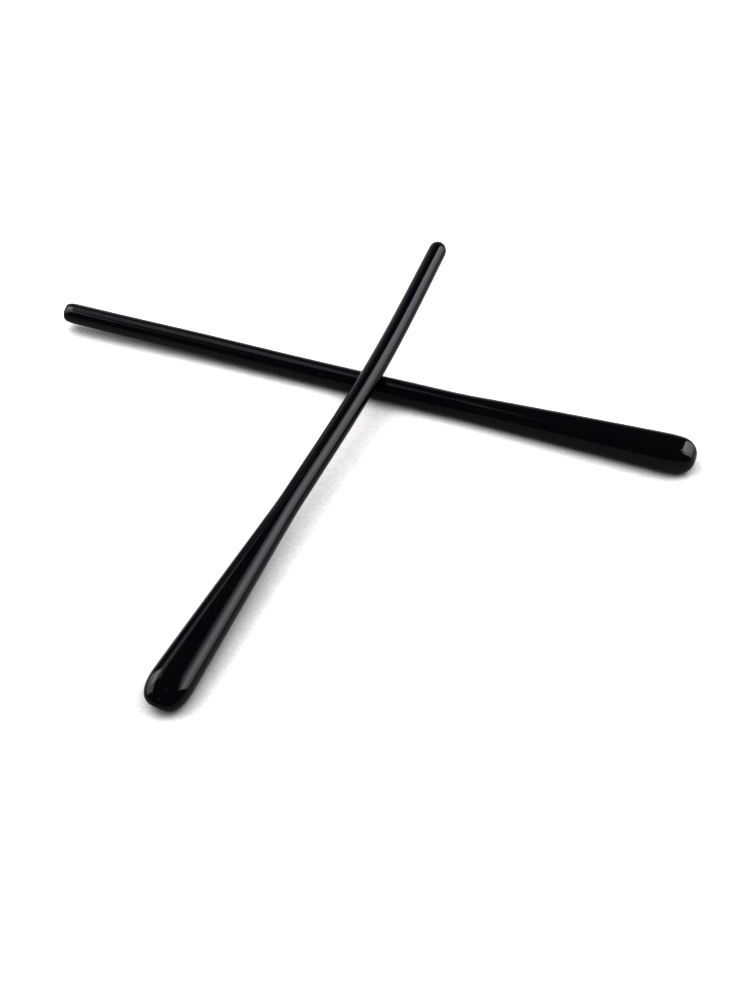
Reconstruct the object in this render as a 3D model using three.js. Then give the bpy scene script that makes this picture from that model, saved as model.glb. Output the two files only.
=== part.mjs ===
// A pair of claves, the two sticks struck together to keep a rhythm, laid down with the striker
// across the resonator. Each stick is one solid piece: a slim rod, cut blunt at its tip, that
// flattens and widens into a soft-ended paddle. Millimetres, +Z up, resting on z = 0.
import * as THREE from "three";
import { mergeVertices } from "three/addons/utils/BufferGeometryUtils.js";

const { clamp, degToRad, lerp } = THREE.MathUtils;

// One stick. A station is a distance along it, from 0 at the tip to its length at the paddle's end.
const TIP_RADIUS = 3.1;
const ROOT_RADIUS = 4; // the rod's radius if it ran on to the paddle's end
const TIP_ROUNDING = 3;
const TIP_POWER = 2;

// The paddle. Its section is a flat band above and below, between two rounded shoulders.
const FLARE_FROM_END = 9; // the flare is complete this far from the paddle's end
const FLARE_SOFTNESS = 0.13; // 0 would start the flare with a corner
const BAND_HALF_WIDTH = 2;
const BAND_READY = 0.1; // the flare at which the band has become truly flat
const SHOULDER_POWER = 0.91; // 1 is an ellipse, less is squarer
const END_PLAN_REACH = 10.4;
const END_PLAN_POWER = 2.9;
const END_SIDE_POWER = 1.95;

// The two sticks, shaped by hand and not quite alike. tipFace is the blunt end face, as a share of
// the tip's radius, and endReach is how far the paddle's end is rounded in side view. Each stick
// bows sideways between two stations and runs straight on to its tip from there, and its tip may
// curl up off the ground. Azimuths turn the tip-to-paddle direction from +X.
const RESONATOR = {
  name: "resonator_stick",
  length: 201.3,
  slimness: 1,
  tipFace: 0.7,
  flareStart: 126,
  paddle: { halfWidth: 5.9, halfThickness: 4.5 },
  endReach: 4.8,
  bow: { near: 59, far: 29, angle: degToRad(-1.7) },
  curl: { start: 110, height: 2.6 },
  roll: 0,
  azimuth: degToRad(-19.35),
  crossing: 101.6,
};
const STRIKER = {
  name: "striker_stick",
  length: 199.4,
  slimness: 0.915,
  tipFace: 0.45,
  flareStart: 115,
  paddle: { halfWidth: 6.3, halfThickness: 4.1 },
  endReach: 8.2,
  bow: { near: 97, far: 19, angle: degToRad(-4.75) },
  curl: { start: 100, height: 0 },
  roll: degToRad(-10),
  azimuth: degToRad(-114.75),
  crossing: 58.3,
};
const CLEARANCE = 0.25; // between the resonator's top and the striker lying on it
const HEEL = 8; // the striker touches the ground this far from its paddle's end

// Facets. SEGMENTS is two more than a multiple of four, so two vertices straddle the top and bottom.
const SEGMENTS = 34;
const ROD_STEP = 7;
const TIP_RINGS = 4;
const END_RINGS = 8;
const STITCH = 1e-4;

const BLACK_GLOSS = { color: 0x0a0a0b, roughness: 0.08, metalness: 0 };

// A rounded edge: 0 at share 0, rising to 1 where share reaches 1.
function roundedEdge(share, power) {
  return (1 - (1 - clamp(share, 0, 1)) ** power) ** (1 / power);
}

// How far the rod has become paddle, 0 to 1: a soft start, then even widening.
function flareAt(station, { length, flareStart }) {
  const flareEnd = length - FLARE_FROM_END;
  const run = clamp((station - flareStart) / (flareEnd - flareStart), 0, 1);
  const soft = Math.hypot(run, FLARE_SOFTNESS) - FLARE_SOFTNESS;
  return soft / (Math.hypot(1, FLARE_SOFTNESS) - FLARE_SOFTNESS);
}

function rodRadius(station, { length, slimness }) {
  return slimness * lerp(TIP_RADIUS, ROOT_RADIUS, station / length);
}

// Half the thickness before the ends are rounded off. The underside stays straight, so this is
// also the height of the centreline over it.
function bodyHalfThickness(station, stick) {
  return lerp(rodRadius(station, stick), stick.paddle.halfThickness, flareAt(station, stick));
}

function sectionAt(station, stick) {
  const flare = flareAt(station, stick);
  const fromEnd = stick.length - station;
  const tip = lerp(stick.tipFace, 1, roundedEdge(station / TIP_ROUNDING, TIP_POWER));
  const plan = tip * roundedEdge(fromEnd / END_PLAN_REACH, END_PLAN_POWER);
  const side = tip * roundedEdge(fromEnd / stick.endReach, END_SIDE_POWER);
  return {
    halfWidth: plan * lerp(rodRadius(station, stick), stick.paddle.halfWidth, flare),
    halfThickness: side * bodyHalfThickness(station, stick),
    halfBand: plan * flare * BAND_HALF_WIDTH,
    flatness: clamp(flare / BAND_READY, 0, 1),
  };
}

// The point of a section's outline at an angle, where 0 is the side and a quarter turn the top.
function outlinePoint(section, angle) {
  const { halfWidth, halfThickness, halfBand, flatness } = section;
  const quarter = Math.PI / 2;
  const stretch = lerp(1, quarter / (quarter - Math.PI / SEGMENTS), flatness);
  const turn = Math.min(Math.asin(Math.abs(Math.sin(angle))) * stretch, quarter);
  const power = lerp(1, SHOULDER_POWER, flatness);
  const across = halfBand + (halfWidth - halfBand) * Math.cos(turn) ** power;
  const up = halfThickness * Math.sin(turn) ** power;
  return [Math.sign(Math.cos(angle)) * across, Math.sign(Math.sin(angle)) * up];
}

// Sideways offset of the centreline: its slope eases in over the bow and stays from there to the tip.
function bowAt(station, { near, far, angle }) {
  const run = clamp((near - station) / (near - far), 0, 1);
  const eased = (near - far) * (run ** 3 - run ** 4 / 2);
  return Math.tan(angle) * (eased + Math.max(far - station, 0));
}

function curlAt(station, { start, height }) {
  return height * clamp(1 - station / start, 0, 1) ** 2;
}

// Stations of the rings: along arcs at both rounded ends, and evenly between them.
function ringStations(length) {
  const stations = [];
  for (let i = 0; i < TIP_RINGS; i += 1) {
    stations.push(TIP_ROUNDING * (1 - Math.cos((i / TIP_RINGS) * (Math.PI / 2))));
  }
  const endStart = length - END_PLAN_REACH;
  const steps = Math.round((endStart - TIP_ROUNDING) / ROD_STEP);
  for (let i = 0; i < steps; i += 1) {
    stations.push(lerp(TIP_ROUNDING, endStart, i / steps));
  }
  for (let i = 0; i < END_RINGS; i += 1) {
    stations.push(endStart + END_PLAN_REACH * Math.sin((i / END_RINGS) * (Math.PI / 2)));
  }
  return stations;
}

// A unit lathe, whose rings are then given the section and place that their station has.
function stickGeometry(stick) {
  const rings = ringStations(stick.length).map((station) => new THREE.Vector2(1, station));
  const profile = [new THREE.Vector2(0, 0), ...rings, new THREE.Vector2(0, stick.length)];
  const lathe = new THREE.LatheGeometry(profile, SEGMENTS);
  lathe.deleteAttribute("normal");
  lathe.deleteAttribute("uv");
  const point = new THREE.Vector3();
  const position = lathe.getAttribute("position");
  for (let i = 0; i < position.count; i += 1) {
    point.fromBufferAttribute(position, i);
    const station = point.y;
    const ring = Math.hypot(point.x, point.z);
    const [across, up] = outlinePoint(sectionAt(station, stick), Math.atan2(point.x, point.z));
    const height = bodyHalfThickness(station, stick) + curlAt(station, stick.curl);
    position.setXYZ(i, station, bowAt(station, stick.bow) + ring * across, height + ring * up);
  }
  return mergeVertices(lathe, STITCH);
}

// A stick in a group of its own, rolled about the middle of its paddle and turned about the point
// where the two sticks cross, then set on the ground.
function placedStick(stick, pitch) {
  const { name, paddle, bow, roll, azimuth, crossing } = stick;
  const mesh = new THREE.Mesh(stickGeometry(stick), new THREE.MeshStandardMaterial(BLACK_GLOSS));
  mesh.name = name;
  mesh.position.set(-crossing, -bowAt(crossing, bow), -paddle.halfThickness);
  const turned = new THREE.Group();
  turned.rotation.set(roll, pitch, azimuth, "ZYX");
  turned.add(mesh);
  turned.position.z -= new THREE.Box3().setFromObject(turned, true).min.z;
  return turned;
}

// How far rolling lowers a paddle's underside: its shoulder turns down below its band, and the bow
// sets the whole paddle a little to one side of the crossing.
function rollDrop({ paddle, bow, roll, crossing }) {
  const shoulder = (paddle.halfWidth - BAND_HALF_WIDTH) * Math.sin(roll);
  const reach = Math.hypot(shoulder, paddle.halfThickness * Math.cos(roll));
  const turned = reach + BAND_HALF_WIDTH * Math.abs(Math.sin(roll)) - paddle.halfThickness;
  return turned + bowAt(crossing, bow) * Math.sin(roll);
}

// The striker leans from its heel on the ground up to the resonator's top at the crossing.
function strikerPitch() {
  const { crossing, curl } = RESONATOR;
  const top = 2 * bodyHalfThickness(crossing, RESONATOR) + curlAt(crossing, curl) + CLEARANCE;
  return Math.atan2(top - rollDrop(STRIKER), STRIKER.length - HEEL - STRIKER.crossing);
}

const claves = new THREE.Group();
claves.add(placedStick(RESONATOR, 0));
claves.add(placedStick(STRIKER, strikerPitch()));
const middle = new THREE.Box3().setFromObject(claves, true).getCenter(new THREE.Vector3());
claves.position.set(-middle.x, -middle.y, 0);

export default claves;
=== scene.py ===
"""A pair of gloss-black claves on pale paper: a slim resonator stick with the striker laid across it.

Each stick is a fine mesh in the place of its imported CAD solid, made from the same formulas.
Metres, +Z up. In a stick's own space X runs along it, from its blunt tip to its paddle's end.
"""
import math

import bpy
import numpy as np
from mathutils import Euler, Matrix, Vector


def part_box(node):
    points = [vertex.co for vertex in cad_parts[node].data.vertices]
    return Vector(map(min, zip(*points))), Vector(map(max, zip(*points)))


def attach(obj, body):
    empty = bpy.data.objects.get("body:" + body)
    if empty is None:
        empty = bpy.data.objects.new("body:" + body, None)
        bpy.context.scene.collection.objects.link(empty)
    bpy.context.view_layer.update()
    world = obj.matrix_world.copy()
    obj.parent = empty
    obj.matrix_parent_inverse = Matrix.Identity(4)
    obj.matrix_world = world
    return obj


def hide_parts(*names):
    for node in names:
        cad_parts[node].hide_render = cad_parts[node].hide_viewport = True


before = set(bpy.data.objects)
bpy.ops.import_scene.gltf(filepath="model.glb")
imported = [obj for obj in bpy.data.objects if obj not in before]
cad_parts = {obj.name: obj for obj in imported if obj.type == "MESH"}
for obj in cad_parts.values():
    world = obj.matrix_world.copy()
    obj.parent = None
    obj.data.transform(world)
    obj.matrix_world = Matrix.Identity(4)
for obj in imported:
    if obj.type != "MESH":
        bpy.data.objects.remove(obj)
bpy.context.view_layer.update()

MM = 0.001
UP = Vector((0, 0, 1))

# One stick. A station is a distance along it, from 0 at the tip to its length at the paddle's end.
TIP_RADIUS = 3.1 * MM
ROOT_RADIUS = 4 * MM  # the rod's radius if it ran on to the paddle's end
TIP_ROUNDING = 3 * MM
TIP_POWER = 2

# The paddle. Its section is a flat band above and below, between two rounded shoulders.
FLARE_FROM_END = 9 * MM  # the flare is complete this far from the paddle's end
FLARE_SOFTNESS = 0.13  # 0 would start the flare with a corner
BAND_HALF_WIDTH = 2 * MM
BAND_READY = 0.1  # the flare at which the shoulders have their full squareness
SHOULDER_POWER = 0.91  # 1 is an ellipse, less is squarer
END_PLAN_REACH = 10.4 * MM
END_PLAN_POWER = 2.9
END_SIDE_POWER = 1.95

# The two sticks, shaped by hand and not quite alike. tip_face is the blunt end face, as a share of
# the tip's radius, and end_reach is how far the paddle's end is rounded in side view. Each stick
# bows sideways between two stations and runs straight on to its tip from there, and its tip may
# curl up off the ground. Azimuths turn the tip-to-paddle direction from +X. face_wear is how worn
# the end face is, 0 to 1, and seed moves the stick's marks to their own place in the noise.
RESONATOR = {
    "name": "resonator_stick_fine",
    "node": "resonator_stick",
    "body": "resonator",
    "length": 201.3 * MM,
    "slimness": 1,
    "tip_face": 0.7,
    "flare_start": 126 * MM,
    "paddle_half_width": 5.9 * MM,
    "paddle_half_thickness": 4.5 * MM,
    "end_reach": 4.8 * MM,
    "bow_near": 59 * MM,
    "bow_far": 29 * MM,
    "bow_angle": math.radians(-1.7),
    "curl_start": 110 * MM,
    "curl_height": 2.6 * MM,
    "roll": 0,
    "azimuth": math.radians(-19.35),
    "crossing": 101.6 * MM,
    "face_wear": 1,
    "seed": 3,
}
STRIKER = {
    "name": "striker_stick_fine",
    "node": "striker_stick",
    "body": "striker",
    "length": 199.4 * MM,
    "slimness": 0.915,
    "tip_face": 0.45,
    "flare_start": 115 * MM,
    "paddle_half_width": 6.3 * MM,
    "paddle_half_thickness": 4.1 * MM,
    "end_reach": 8.2 * MM,
    "bow_near": 97 * MM,
    "bow_far": 19 * MM,
    "bow_angle": math.radians(-4.75),
    "curl_start": 100 * MM,
    "curl_height": 0,
    "roll": math.radians(-10),
    "azimuth": math.radians(-114.75),
    "crossing": 58.3 * MM,
    "face_wear": 0.2,
    "seed": 211,
}
CLEARANCE = 0.25 * MM  # between the resonator's top and the striker lying on it
HEEL = 8 * MM  # the striker touches the ground this far from its paddle's end

# The fine mesh.
SEGMENTS = 128
OUTLINE_SAMPLES = 1024
RING_STEP = 0.9 * MM
TIP_RINGS = 20
END_RINGS = 28
STICK_SPACE = "stick_space"  # the mesh attribute with each point's place in its stick, in mm

# The black gloss. Wear fades in or out between two stations, which are in mm here.
BLACK_TONES = ((0.0015, 0.002, 0.006, 1), (0.0035, 0.0035, 0.0045, 1))
WORN_TONE = (0.006, 0.0065, 0.0045, 1)
DUST_TONE = (0.16, 0.15, 0.14, 1)
POLISHED_ROUGHNESS = 0.05
SMEARED_ROUGHNESS = 0.11
SCRATCHED_ROUGHNESS = 0.16
WORN_ROUGHNESS = 0.3
DUSTY_ROUGHNESS = 0.7
WAVE_DEPTH = 0.02 * MM
GRAIN_DEPTH = 0.002 * MM
SCRATCH_DEPTH = 0.002 * MM
FACE_WEAR = (1, 2.5)
TIP_WEAR = (2, 9)
PADDLE_WEAR = (190, 200)

# The floor and its backdrop.
STAGE_RADIUS = 4
STAGE_SIDES = 96
FLOOR_TONES = ((0.318, 0.312, 0.304, 1), (0.368, 0.362, 0.354, 1))
FLOOR_SPECULAR = 0.1
FIBRE_DEPTH = 0.02 * MM
BACKDROP_HEIGHT = 3
BACKDROP_TINT = (1, 0.99, 0.99, 1)
BACKDROP_RADIANCE = 0.67

# The studio's lights. Each softbox faces the middle of the object from a direction, and is shaded
# from its lower edge to its upper edge: a share of its strength, then full at its peak, then none.
SOFTBOXES = (
    {
        "name": "left_window",
        "azimuth": 166,
        "elevation": 37,
        "distance": 0.8,
        "size": (1, 0.9),
        "radiance": 4.6,
        "low_share": 1,
        "peak": 0.92,
    },
    {
        "name": "far_wall",
        "azimuth": 107,
        "elevation": 22,
        "distance": 1,
        "size": (0.41, 0.8),
        "radiance": 1.25,
        "low_share": 0.7,
        "peak": 0.35,
    },
    {
        "name": "far_glow",
        "azimuth": 75,
        "elevation": 14,
        "distance": 1.1,
        "size": (0.9, 0.8),
        "radiance": 2.2,
        "low_share": 0.8,
        "peak": 0.1,
    },
    {
        "name": "right_softbox",
        "azimuth": 19,
        "elevation": 34,
        "distance": 0.8,
        "size": (0.8, 1.3),
        "radiance": 7.3,
        "low_share": 0.25,
        "peak": 0.6,
    },
)
OVERHEAD_PLACE = Vector((-0.255, 0.2, 0.4))
OVERHEAD_SIZE = (0.46, 0.35)
OVERHEAD_RADIANCE = 2.7
OVERHEAD_FADE = 0.14  # the share of the overhead panel's length that fades out towards +X
FILL_AZIMUTH = -90
FILL_ELEVATION = 75
FILL_SPREAD = math.radians(90)
FILL_TINT = (0.96, 0.99, 1.04)
FILL_IRRADIANCE = 5.7
WORLD_RADIANCE = 0.3

# The camera.
LENS = 90
SENSOR_WIDTH = 36
CAMERA_AIM = Vector((0.00107, -0.00871, 0))
CAMERA_AZIMUTH = -90
CAMERA_ELEVATION = 44.54
CAMERA_DISTANCE = 0.72824
VIEW_GAMMA = 0.5


def rounded_edge(share, power):
    """A rounded edge: 0 at share 0, rising to 1 where share reaches 1."""
    return (1 - (1 - np.clip(share, 0, 1)) ** power) ** (1 / power)


def lerp(start, end, share):
    return start + (end - start) * share


def flare_at(station, stick):
    """How far the rod has become paddle, 0 to 1: a soft start, then even widening."""
    start, end = stick["flare_start"], stick["length"] - FLARE_FROM_END
    run = np.clip((station - start) / (end - start), 0, 1)
    soft = np.hypot(run, FLARE_SOFTNESS) - FLARE_SOFTNESS
    return soft / (math.hypot(1, FLARE_SOFTNESS) - FLARE_SOFTNESS)


def rod_radius(station, stick):
    return stick["slimness"] * lerp(TIP_RADIUS, ROOT_RADIUS, station / stick["length"])


def body_half_thickness(station, stick):
    """Half the thickness before the ends are rounded off. The underside stays straight, so this
    is also the height of the centreline over it."""
    flare = flare_at(station, stick)
    return lerp(rod_radius(station, stick), stick["paddle_half_thickness"], flare)


def bow_at(station, stick):
    """Sideways offset of the centreline: its slope eases in over the bow and stays to the tip."""
    near, far = stick["bow_near"], stick["bow_far"]
    run = np.clip((near - station) / (near - far), 0, 1)
    eased = (near - far) * (run**3 - run**4 / 2)
    return math.tan(stick["bow_angle"]) * (eased + np.maximum(far - station, 0))


def curl_at(station, stick):
    return stick["curl_height"] * np.clip(1 - station / stick["curl_start"], 0, 1) ** 2


def outline(station, stick):
    """The section at a station, as SEGMENTS points (across, up) evenly spaced round it."""
    flare = flare_at(station, stick)
    from_end = stick["length"] - station
    tip = lerp(stick["tip_face"], 1, rounded_edge(station / TIP_ROUNDING, TIP_POWER))
    plan = tip * rounded_edge(from_end / END_PLAN_REACH, END_PLAN_POWER)
    side = tip * rounded_edge(from_end / stick["end_reach"], END_SIDE_POWER)
    half_width = plan * lerp(rod_radius(station, stick), stick["paddle_half_width"], flare)
    half_thickness = side * body_half_thickness(station, stick)
    half_band = plan * flare * BAND_HALF_WIDTH
    power = lerp(1, SHOULDER_POWER, min(flare / BAND_READY, 1))
    angle = np.linspace(0, math.tau, OUTLINE_SAMPLES, endpoint=False)
    cos, sin = np.cos(angle), np.sin(angle)
    across = np.sign(cos) * (half_band + (half_width - half_band) * np.abs(cos) ** power)
    up = np.sign(sin) * half_thickness * np.abs(sin) ** power
    return evenly_spaced(np.stack([across, up], axis=1))


def evenly_spaced(loop):
    """A closed loop of points, resampled to SEGMENTS points at equal distances along it."""
    closed = np.vstack([loop, loop[:1]])
    steps = np.hypot(*np.diff(closed, axis=0).T)
    reached = np.concatenate([[0], np.cumsum(steps)])
    wanted = np.linspace(0, reached[-1], SEGMENTS, endpoint=False)
    return np.stack([np.interp(wanted, reached, closed[:, i]) for i in range(2)], axis=1)


def ring_stations(length):
    """Stations of the rings: along arcs at both rounded ends, and evenly between them."""
    quarter = math.pi / 2
    tip = TIP_ROUNDING * (1 - np.cos(np.arange(TIP_RINGS) / TIP_RINGS * quarter))
    end_start = length - END_PLAN_REACH
    count = round((end_start - TIP_ROUNDING) / RING_STEP)
    body = np.linspace(TIP_ROUNDING, end_start, count, endpoint=False)
    end = end_start + END_PLAN_REACH * np.sin(np.arange(END_RINGS) / END_RINGS * quarter)
    return np.concatenate([tip, body, end])


def stick_points(stick, stations):
    """The rings' points one after another, then the middle of the tip and of the paddle's end."""
    points = []
    for station in stations:
        height = body_half_thickness(station, stick) + curl_at(station, stick)
        side = bow_at(station, stick)
        points += [(station, side + across, height + up) for across, up in outline(station, stick)]
    for station in (0, stick["length"]):
        height = body_half_thickness(station, stick) + curl_at(station, stick)
        points.append((station, bow_at(station, stick), height))
    return np.array(points, dtype=float)


def stick_faces(ring_count):
    """Quads between the rings, and a fan of triangles round the middle of each end."""
    tip_centre = ring_count * SEGMENTS
    end_centre = tip_centre + 1
    faces = []
    for ring in range(ring_count - 1):
        here, there = ring * SEGMENTS, (ring + 1) * SEGMENTS
        for i in range(SEGMENTS):
            j = (i + 1) % SEGMENTS
            faces.append((here + i, here + j, there + j, there + i))
    last = (ring_count - 1) * SEGMENTS
    for i in range(SEGMENTS):
        j = (i + 1) % SEGMENTS
        faces.append((tip_centre, j, i))
        faces.append((end_centre, last + i, last + j))
    return faces


def stick_mesh(stick):
    """The stick's closed mesh in its own space."""
    stations = ring_stations(stick["length"])
    points = stick_points(stick, stations)
    faces = stick_faces(len(stations))
    mesh = bpy.data.meshes.new(stick["name"])
    mesh.from_pydata(points.tolist(), [], faces)
    mesh.polygons.foreach_set("use_smooth", [True] * len(faces))
    space = mesh.attributes.new(STICK_SPACE, "FLOAT_VECTOR", "POINT")
    space.data.foreach_set("vector", (points / MM).ravel())
    mesh.update()
    return mesh


def add_stick(stick, pitch):
    """A stick in the place of its CAD node: turned as that is, then set in the middle of its box."""
    mesh = stick_mesh(stick)
    piece = bpy.data.objects.new(stick["name"], mesh)
    bpy.context.scene.collection.objects.link(piece)
    mesh.transform(Euler((stick["roll"], pitch, stick["azimuth"])).to_matrix().to_4x4())
    points = np.array([vertex.co for vertex in mesh.vertices])
    low, high = points.min(axis=0), points.max(axis=0)
    node_low, node_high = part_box(stick["node"])
    move = (node_low + node_high) / 2 - Vector((low + high) / 2)
    mesh.transform(Matrix.Translation((move.x, move.y, node_low.z - low[2])))
    mesh.materials.append(black_gloss(stick))
    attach(piece, stick["body"])
    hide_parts(stick["node"])


def roll_drop(stick):
    """How far rolling lowers a paddle's underside: its shoulder turns down below its band, and the
    bow sets the whole paddle a little to one side of the crossing."""
    half_thickness = stick["paddle_half_thickness"]
    roll = stick["roll"]
    shoulder = (stick["paddle_half_width"] - BAND_HALF_WIDTH) * math.sin(roll)
    reach = math.hypot(shoulder, half_thickness * math.cos(roll))
    turned = reach + BAND_HALF_WIDTH * abs(math.sin(roll)) - half_thickness
    return turned + bow_at(stick["crossing"], stick) * math.sin(roll)


def striker_pitch():
    """The striker leans from its heel on the ground up to the resonator's top at the crossing."""
    crossing = RESONATOR["crossing"]
    top = 2 * body_half_thickness(crossing, RESONATOR) + curl_at(crossing, RESONATOR) + CLEARANCE
    run = STRIKER["length"] - HEEL - STRIKER["crossing"]
    return math.atan2(top - roll_drop(STRIKER), run)


def node_material(name):
    material = bpy.data.materials.new(name)
    material.use_nodes = True
    return material, material.node_tree


def add_node(tree, kind, inputs, **settings):
    """A new shader node. Each of its inputs is given either a value or another node's output."""
    made = tree.nodes.new(kind)
    for name, value in settings.items():
        setattr(made, name, value)
    for name, value in inputs.items():
        if isinstance(value, bpy.types.NodeSocket):
            tree.links.new(value, made.inputs[name])
        else:
            made.inputs[name].default_value = value
    return made


def noise(tree, place, scale, detail, distortion=0):
    """Smooth noise, about 0 to 1, with scale features per unit of place."""
    inputs = {"Vector": place, "Scale": scale, "Detail": detail, "Distortion": distortion}
    return add_node(tree, "ShaderNodeTexNoise", inputs).outputs["Fac"]


def ramp(tree, value, start, end, low=0.0, high=1.0):
    """A value mapped so that start becomes low and end becomes high, and held beyond them."""
    inputs = {"Value": value, "From Min": start, "From Max": end, "To Min": low, "To Max": high}
    return add_node(tree, "ShaderNodeMapRange", inputs).outputs["Result"]


def calculate(tree, operation, first, second):
    return add_node(tree, "ShaderNodeMath", {0: first, 1: second}, operation=operation).outputs[0]


def blend(tree, share, first, second):
    """A colour that goes from first to second as share goes from 0 to 1."""
    # A Mix node has sockets for every type of data. These are its factor and its two colours.
    inputs = {0: share, 6: first, 7: second}
    return add_node(tree, "ShaderNodeMix", inputs, data_type="RGBA").outputs[2]


def stretch(tree, place, factors):
    inputs = {0: place, 1: factors}
    return add_node(tree, "ShaderNodeVectorMath", inputs, operation="MULTIPLY").outputs[0]


def relief(tree, height, depth, under=None):
    """A bump map of the given depth, laid over another one."""
    inputs = {"Height": height, "Distance": depth}
    if under is not None:
        inputs["Normal"] = under
    return add_node(tree, "ShaderNodeBump", inputs).outputs["Normal"]


def dust(tree, place):
    """Sparse specks of dust, 0 or 1: a dot in the middle of some of a pattern's cells."""
    cells = add_node(tree, "ShaderNodeTexVoronoi", {"Vector": place, "Scale": 0.42})
    chance = add_node(tree, "ShaderNodeSeparateColor", {0: cells.outputs["Color"]})
    dot = ramp(tree, cells.outputs["Distance"], start=0.03, end=0.06, low=1, high=0)
    kept = ramp(tree, chance.outputs[0], start=0.6, end=0.7)
    return calculate(tree, "MULTIPLY", dot, kept)


def rubbing(tree, place, station, stick):
    """Where the gloss is rubbed dull, 0 to 1: on the blunt end face, and in patches at both ends."""
    face = ramp(tree, station, *FACE_WEAR, low=stick["face_wear"], high=0)
    tip = ramp(tree, station, *TIP_WEAR, low=1, high=0)
    paddle = ramp(tree, station, *PADDLE_WEAR)
    ends = calculate(tree, "MAXIMUM", tip, paddle)
    patches = ramp(tree, noise(tree, place, scale=0.9, detail=4), start=0.55, end=0.7)
    return calculate(tree, "MAXIMUM", face, calculate(tree, "MULTIPLY", ends, patches))


def black_gloss(stick):
    """Deep black gloss: a little wavy, unevenly polished, finely scratched and slightly dusty."""
    material, tree = node_material("black_gloss_" + stick["body"])
    own_space = add_node(tree, "ShaderNodeAttribute", {}, attribute_name=STICK_SPACE)
    station = add_node(tree, "ShaderNodeSeparateXYZ", {0: own_space.outputs["Vector"]}).outputs[0]
    shift = {0: own_space.outputs["Vector"], 1: (stick["seed"],) * 3}
    place = add_node(tree, "ShaderNodeVectorMath", shift).outputs[0]
    drawn_out = stretch(tree, place, (0.5, 1, 1))
    lengthwise = stretch(tree, place, (0.04, 1, 1))

    depth_of_black = ramp(tree, noise(tree, place, scale=0.06, detail=3), start=0.35, end=0.65)
    smearing = noise(tree, drawn_out, scale=0.22, detail=3, distortion=0.8)
    smears = ramp(tree, smearing, start=0.45, end=0.7)
    scratches = ramp(tree, noise(tree, lengthwise, scale=3.2, detail=2), start=0.64, end=0.72)
    dull = rubbing(tree, place, station, stick)
    specks = dust(tree, place)

    black = blend(tree, depth_of_black, *BLACK_TONES)
    worn = blend(tree, dull, black, WORN_TONE)
    colour = blend(tree, specks, worn, DUST_TONE)
    roughness = ramp(tree, smears, 0, 1, POLISHED_ROUGHNESS, SMEARED_ROUGHNESS)
    marks = ((scratches, SCRATCHED_ROUGHNESS), (dull, WORN_ROUGHNESS), (specks, DUSTY_ROUGHNESS))
    for mark, mark_roughness in marks:
        marked = ramp(tree, mark, 0, 1, 0, mark_roughness)
        roughness = calculate(tree, "MAXIMUM", roughness, marked)
    wavy = relief(tree, noise(tree, place, scale=0.16, detail=1), WAVE_DEPTH)
    grained = relief(tree, noise(tree, place, scale=1.3, detail=3), GRAIN_DEPTH, wavy)
    scratched = relief(tree, scratches, SCRATCH_DEPTH, grained)

    shader = tree.nodes["Principled BSDF"]
    tree.links.new(colour, shader.inputs["Base Color"])
    tree.links.new(roughness, shader.inputs["Roughness"])
    tree.links.new(scratched, shader.inputs["Normal"])
    return material


def paper():
    """Smooth pale paper: faintly mottled, with a fine fibrous grain."""
    material, tree = node_material("pale_paper")
    space = add_node(tree, "ShaderNodeTexCoord", {}).outputs["Object"]
    place = stretch(tree, space, (1 / MM,) * 3)
    combed = stretch(tree, place, (0.6, 1, 1))
    fibres = noise(tree, combed, scale=1.6, detail=4, distortion=1.5)
    mottle = noise(tree, place, scale=0.05, detail=3)
    tone = calculate(tree, "ADD", fibres, calculate(tree, "MULTIPLY", mottle, 0.25))
    colour = blend(tree, ramp(tree, tone, start=0.4, end=0.85), *FLOOR_TONES)
    roughness = ramp(tree, fibres, start=0.3, end=0.7, low=0.85, high=0.95)
    shader = tree.nodes["Principled BSDF"]
    tree.links.new(colour, shader.inputs["Base Color"])
    tree.links.new(roughness, shader.inputs["Roughness"])
    tree.links.new(relief(tree, fibres, FIBRE_DEPTH), shader.inputs["Normal"])
    shader.inputs["Specular IOR Level"].default_value = FLOOR_SPECULAR
    return material


def backdrop_white():
    """A wall with an even glow of its own."""
    material, tree = node_material("backdrop_white")
    shader = tree.nodes["Principled BSDF"]
    shader.inputs["Base Color"].default_value = (0, 0, 0, 1)
    shader.inputs["Emission Color"].default_value = BACKDROP_TINT
    shader.inputs["Emission Strength"].default_value = BACKDROP_RADIANCE
    return material


def add_stage(name, points, faces, material):
    mesh = bpy.data.meshes.new(name)
    mesh.from_pydata(points, [], faces)
    mesh.materials.append(material)
    stage = bpy.data.objects.new(name, mesh)
    bpy.context.scene.collection.objects.link(stage)
    return stage


def ring_of_points(height):
    turns = [math.tau * i / STAGE_SIDES for i in range(STAGE_SIDES)]
    return [(STAGE_RADIUS * math.cos(turn), STAGE_RADIUS * math.sin(turn), height) for turn in turns]


def add_floor_and_backdrop():
    """A round floor inside a round wall. The wall is there for the camera alone."""
    rim = ring_of_points(0)
    add_stage("floor", rim, [tuple(range(STAGE_SIDES))], paper())
    steps = [(i, (i + 1) % STAGE_SIDES) for i in range(STAGE_SIDES)]
    walls = [(j, i, i + STAGE_SIDES, j + STAGE_SIDES) for i, j in steps]
    points = rim + ring_of_points(BACKDROP_HEIGHT)
    backdrop = add_stage("backdrop", points, walls, backdrop_white())
    backdrop.visible_diffuse = False
    backdrop.visible_glossy = False
    backdrop.visible_shadow = False


def direction(azimuth, elevation):
    """The unit vector at an azimuth from +X towards +Y and an elevation above the ground."""
    a, e = math.radians(azimuth), math.radians(elevation)
    return Vector((math.cos(a) * math.cos(e), math.sin(a) * math.cos(e), math.sin(e)))


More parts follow.
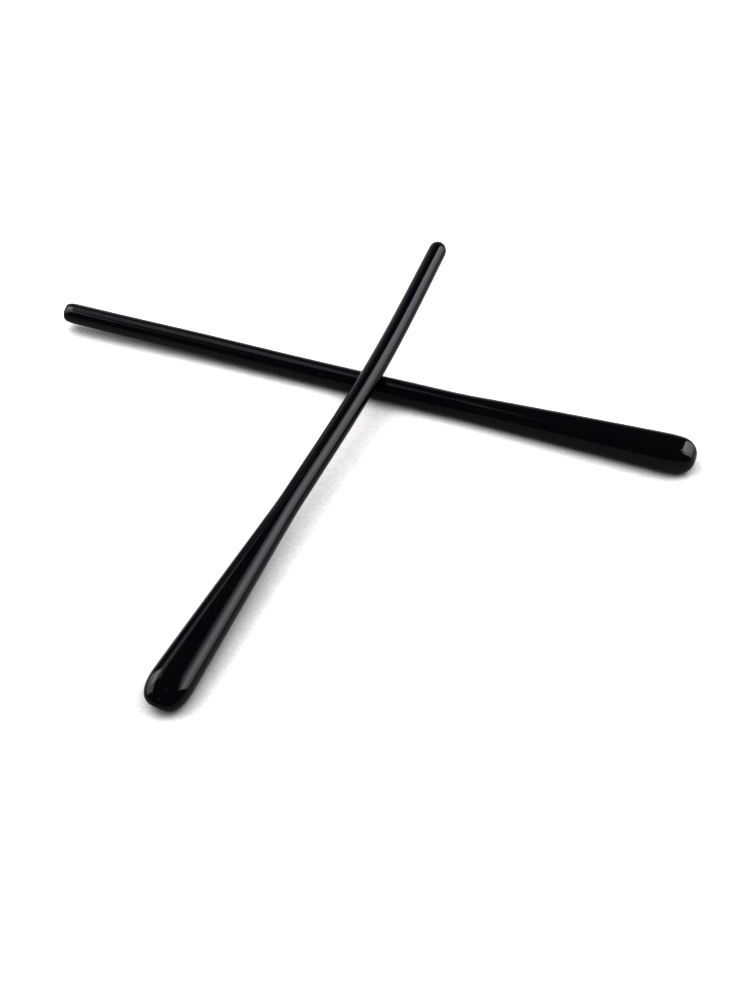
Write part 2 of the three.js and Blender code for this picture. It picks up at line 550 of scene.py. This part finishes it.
def add_panel(name, place, back, size, radiance):
    """A one-sided rectangular light. back points out of its dark side."""
    width, height = size
    light = bpy.data.lights.new(name, "AREA")
    light.shape = "RECTANGLE"
    light.size, light.size_y = width, height
    light.energy = math.pi * width * height * radiance
    panel = bpy.data.objects.new(name, light)
    panel.location = place
    panel.rotation_euler = back.to_track_quat("Z", "Y").to_euler()
    panel.visible_camera = False
    bpy.context.scene.collection.objects.link(panel)
    return panel


def soften(panel, axis, start, peak, end):
    """Shades a panel along an axis: a share at its start, full at its peak, a share at its end.

    Y starts at the panel's lower edge. X starts at the edge on the panel's own +X side.
    """
    panel.data.use_nodes = True
    tree = panel.data.node_tree
    spot = add_node(tree, "ShaderNodeNewGeometry", {}).outputs["Parametric"]
    reach = add_node(tree, "ShaderNodeSeparateXYZ", {0: spot}).outputs[axis]
    rise = ramp(tree, reach, 0, peak, start, 1)
    fall = ramp(tree, reach, peak, 1, 1, end)
    strength = tree.nodes["Emission"].inputs["Strength"]
    tree.links.new(calculate(tree, "MULTIPLY", rise, fall), strength)


def add_softbox(name, azimuth, elevation, distance, size, radiance, low_share, peak):
    """A panel that faces the middle of the object and fades out towards its upper edge."""
    back = direction(azimuth, elevation)
    panel = add_panel(name, back * distance, back, size, radiance)
    soften(panel, "Y", low_share, peak, 0)


def add_overhead():
    """A panel that faces straight down from the far left, and fades out towards +X."""
    panel = add_panel("overhead_left", OVERHEAD_PLACE, UP, OVERHEAD_SIZE, OVERHEAD_RADIANCE)
    soften(panel, "X", 0, OVERHEAD_FADE, 1)


def add_fill():
    """A broad soft light from above and a little in front, evenly over all of the floor."""
    light = bpy.data.lights.new("fill", "SUN")
    light.energy = FILL_IRRADIANCE
    light.angle = FILL_SPREAD
    light.color = FILL_TINT
    fill = bpy.data.objects.new("fill", light)
    back = direction(FILL_AZIMUTH, FILL_ELEVATION)
    fill.rotation_euler = back.to_track_quat("Z", "Y").to_euler()
    fill.visible_glossy = False
    bpy.context.scene.collection.objects.link(fill)


def add_world():
    world = bpy.data.worlds.new("studio")
    world.use_nodes = True
    background = world.node_tree.nodes["Background"]
    background.inputs["Color"].default_value = (1, 1, 1, 1)
    background.inputs["Strength"].default_value = WORLD_RADIANCE
    bpy.context.scene.world = world


def add_camera():
    data = bpy.data.cameras.new("camera")
    data.lens = LENS
    data.sensor_width = SENSOR_WIDTH
    camera = bpy.data.objects.new("camera", data)
    back = direction(CAMERA_AZIMUTH, CAMERA_ELEVATION)
    camera.location = CAMERA_AIM + back * CAMERA_DISTANCE
    camera.rotation_euler = back.to_track_quat("Z", "Y").to_euler()
    bpy.context.scene.collection.objects.link(camera)
    bpy.context.scene.camera = camera


add_camera()
add_stick(RESONATOR, 0)
add_stick(STRIKER, striker_pitch())
add_floor_and_backdrop()
add_world()
for softbox in SOFTBOXES:
    add_softbox(**softbox)
add_overhead()
add_fill()
view = bpy.context.scene.view_settings
view.view_transform = "Standard"
view.gamma = VIEW_GAMMA

bpy.context.view_layer.update()
